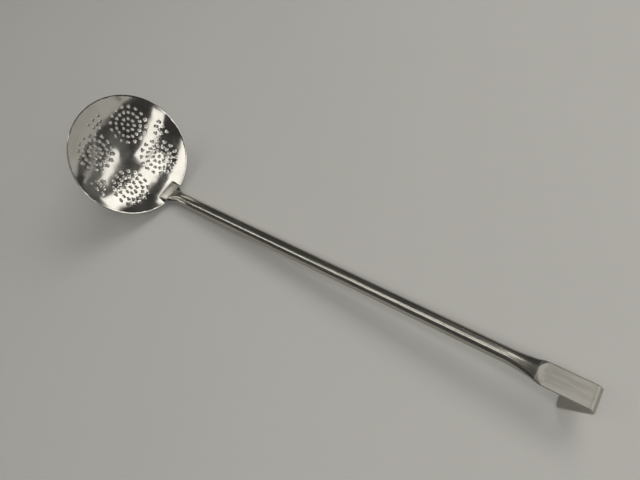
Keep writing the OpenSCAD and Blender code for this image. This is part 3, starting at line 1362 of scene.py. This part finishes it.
@dataclass(frozen=True)
class Sky:
    """A dim room with bright panels, the same for the camera and for the metal."""

    near_level: float = 0.075
    far_level: float = 0.045
    tint: tuple[float, float, float] = (1.0, 0.975, 0.92)
    panels: tuple[SkyPanel, ...] = (
        SkyPanel((-22.0, -24.8), -8.2, 25.5, 4.6, 1.0, 1.6, 2.4),
        SkyPanel((-9.0, -5.5), 4.5, 17.0, 4.0, 1.0, 6.0, 2.4),
        SkyPanel((-2.0, 44.0), 10.0, 6.0, 3.0, 1.5, 5.0, 1.0),
        SkyPanel((5.0, 18.0), 83.0, 10.0, 8.0, 2.5, 2.5, 1.7),
        SkyPanel((39.0, 2.0), -72.0, 26.0, 4.2, 0.8, 0.8, 1.5),
        SkyPanel((49.5, 28.0), -80.0, 31.0, 5.2, 0.9, 0.9, 1.5),
        SkyPanel((67.8, -6.6), -74.0, 22.0, 4.6, 0.9, 0.9, 1.4),
        SkyPanel((67.2, 36.6), -60.0, 14.5, 2.6, 0.8, 0.8, 1.3),
        SkyPanel((67.0, 38.0), -60.0, 30.0, 7.5, 4.0, 4.0, 0.14),
        SkyPanel((70.5, 50.0), -52.0, 17.0, 0.9, 0.5, 0.5, 0.45),
        SkyPanel((75.0, 47.0), -52.0, 15.0, 0.8, 0.5, 0.5, 0.35),
    )

    def build(self) -> bpy.types.World:
        """Makes the world.

        Returns:
            The world, whose light depends on the direction alone.
        """
        world = bpy.data.worlds.new("studio")
        world.use_nodes = True
        tree = world.node_tree
        tree.nodes.clear()
        place = self.map_place(tree)
        level = self.base(tree, place)
        for panel in self.panels:
            level = self.math(tree, "MAXIMUM", level, self.glow(tree, place, panel))
        room = tree.nodes.new("ShaderNodeBackground")
        room.inputs["Color"].default_value = (*self.tint, 1)
        tree.links.new(level, room.inputs["Strength"])
        output = tree.nodes.new("ShaderNodeOutputWorld")
        tree.links.new(room.outputs["Background"], output.inputs["Surface"])
        return world

    def math(self, tree: bpy.types.NodeTree, operation: str, first: bpy.types.NodeSocket,
             second: bpy.types.NodeSocket | float = 0.0) -> bpy.types.NodeSocket:
        """One arithmetic step in the world's tree.

        Args:
            tree: The world's node tree.
            operation: A Math node's operation.
            first: Its first value.
            second: Its second value, a socket or a number.

        Returns:
            The result.
        """
        node = tree.nodes.new("ShaderNodeMath")
        node.operation = operation
        tree.links.new(first, node.inputs[0])
        if isinstance(second, (int, float)):
            node.inputs[1].default_value = second
        else:
            tree.links.new(second, node.inputs[1])
        return node.outputs[0]

    def map_place(self, tree: bpy.types.NodeTree) -> bpy.types.NodeSocket:
        """Turns a direction into a place on the flat map of the sky.

        Args:
            tree: The world's node tree.

        Returns:
            The place as a vector in degrees.
        """
        direction = tree.nodes.new("ShaderNodeTexCoord").outputs["Generated"]
        parts = tree.nodes.new("ShaderNodeSeparateXYZ")
        tree.links.new(direction, parts.inputs[0])
        x, y, z = parts.outputs
        flat = self.math(tree, "SQRT", self.math(tree, "ADD", self.math(tree, "MULTIPLY", x, x),
                                                 self.math(tree, "MULTIPLY", y, y)))
        angle = self.math(tree, "MULTIPLY", self.math(tree, "ARCTAN2", flat, z), 180 / math.pi)
        growth = self.math(tree, "DIVIDE", angle, self.math(tree, "MAXIMUM", flat, 1e-4))
        place = tree.nodes.new("ShaderNodeCombineXYZ")
        tree.links.new(self.math(tree, "MULTIPLY", x, growth), place.inputs[0])
        tree.links.new(self.math(tree, "MULTIPLY", y, growth), place.inputs[1])
        return place.outputs[0]

    def base(self, tree: bpy.types.NodeTree, place: bpy.types.NodeSocket) -> bpy.types.NodeSocket:
        """The dim room's level, which falls towards the far wall."""
        fall = tree.nodes.new("ShaderNodeMapRange")
        fall.inputs["From Min"].default_value = 5
        fall.inputs["From Max"].default_value = 40
        fall.inputs["To Min"].default_value = self.near_level
        fall.inputs["To Max"].default_value = self.far_level
        parts = tree.nodes.new("ShaderNodeSeparateXYZ")
        tree.links.new(place, parts.inputs[0])
        tree.links.new(parts.outputs[0], fall.inputs["Value"])
        return fall.outputs["Result"]

    def glow(self, tree: bpy.types.NodeTree, place: bpy.types.NodeSocket, panel: SkyPanel) -> bpy.types.NodeSocket:
        """One panel's light.

        Args:
            tree: The world's node tree.
            place: The place on the map.
            panel: The panel.

        Returns:
            The panel's level there.
        """
        shift = tree.nodes.new("ShaderNodeVectorMath")
        shift.operation = "SUBTRACT"
        shift.inputs[1].default_value = (*panel.centre, 0)
        tree.links.new(place, shift.inputs[0])
        turn = math.radians(panel.heading)
        product = None
        for axis, half, soft in (((math.cos(turn), math.sin(turn), 0), panel.half_length, panel.soft_end),
                                 ((-math.sin(turn), math.cos(turn), 0), panel.half_width, panel.soft_side)):
            dot = tree.nodes.new("ShaderNodeVectorMath")
            dot.operation = "DOT_PRODUCT"
            dot.inputs[1].default_value = axis
            tree.links.new(shift.outputs["Vector"], dot.inputs[0])
            edge = tree.nodes.new("ShaderNodeMapRange")
            edge.interpolation_type = "SMOOTHSTEP"
            edge.inputs["From Min"].default_value = half - soft
            edge.inputs["From Max"].default_value = half + soft
            edge.inputs["To Min"].default_value = 1
            edge.inputs["To Max"].default_value = 0
            tree.links.new(self.math(tree, "ABSOLUTE", dot.outputs["Value"]), edge.inputs["Value"])
            product = edge.outputs["Result"] if product is None else \
                self.math(tree, "MULTIPLY", product, edge.outputs["Result"])
        return self.math(tree, "MULTIPLY", product, panel.level)


@dataclass(frozen=True)
class Studio:
    """Table top, lamps, room and camera."""

    floor_size: float = 2.2
    place: tuple[float, float, float] = (0.19610, -0.16869, 0.49895)
    forward: tuple[float, float, float] = (-0.3689046, 0.3539875, -0.8594197)
    right: tuple[float, float, float] = (0.8360440, 0.5303926, -0.1404066)
    lens: float = 26.99
    lamps: tuple[KeyLight, ...] = (
        KeyLight("window_lamp", (0.35, 1.60, 1.80), (0.05, 0.0, 0.0), 1.5, 1.1, 3.2),
        KeyLight("front_lamp", (1.15, -0.45, 1.55), (0.10, 0.0, 0.0), 1.0, 0.8, 3.4),
    )

    def build(self) -> None:
        """Adds the floor, the lamps, the room and the camera."""
        half = self.floor_size / 2
        mesh = bpy.data.meshes.new("floor")
        mesh.from_pydata([(-half, -half, 0), (half, -half, 0), (half, half, 0), (-half, half, 0)], [], [(0, 1, 2, 3)])
        floor = bpy.data.objects.new("floor", mesh)
        mesh.materials.append(FloorPaint().build())
        bpy.context.scene.collection.objects.link(floor)
        for lamp in self.lamps:
            lamp.build()
        bpy.context.scene.world = Sky().build()
        self.add_camera()

    def add_camera(self) -> None:
        """Adds the camera where the photograph was taken from."""
        forward, right = Vector(self.forward).normalized(), Vector(self.right).normalized()
        up = right.cross(forward)
        lens = bpy.data.cameras.new("camera")
        lens.lens = self.lens
        lens.sensor_width = 36.0
        lens.clip_start = 0.01
        camera = bpy.data.objects.new("camera", lens)
        turned = Matrix((right, up, -forward)).transposed().to_4x4()
        camera.matrix_world = Matrix.Translation(self.place) @ turned
        bpy.context.scene.collection.objects.link(camera)
        bpy.context.scene.camera = camera
        bpy.context.scene.view_settings.view_transform = "Standard"


def main() -> None:
    """Builds the skimmer's pieces and the studio."""
    logging.basicConfig(level=logging.INFO, format="%(name)s: %(message)s")
    sizes = Sizes()
    pose = RestPose(sizes)
    sheet = PolishedSheet().build()
    tilt = math.degrees(math.atan2(pose.handle[2][0], pose.handle[0][0]))
    tube = SatinTube().build(tilt)
    weld = WeldMetal().build()
    Bowl(sizes, pose, Perforation(sizes)).build(sheet)
    handle = Handle(sizes, pose)
    handle.build(tube)
    start = handle.pocket_start() + sizes.bowl_t
    WeldBead(sizes, pose, 1, start).build("weld_bead_left", "weld_left", weld)
    WeldBead(sizes, pose, -1, start).build("weld_bead_right", "weld_right", weld)
    Studio().build()


if __name__ == "__main__":
    main()
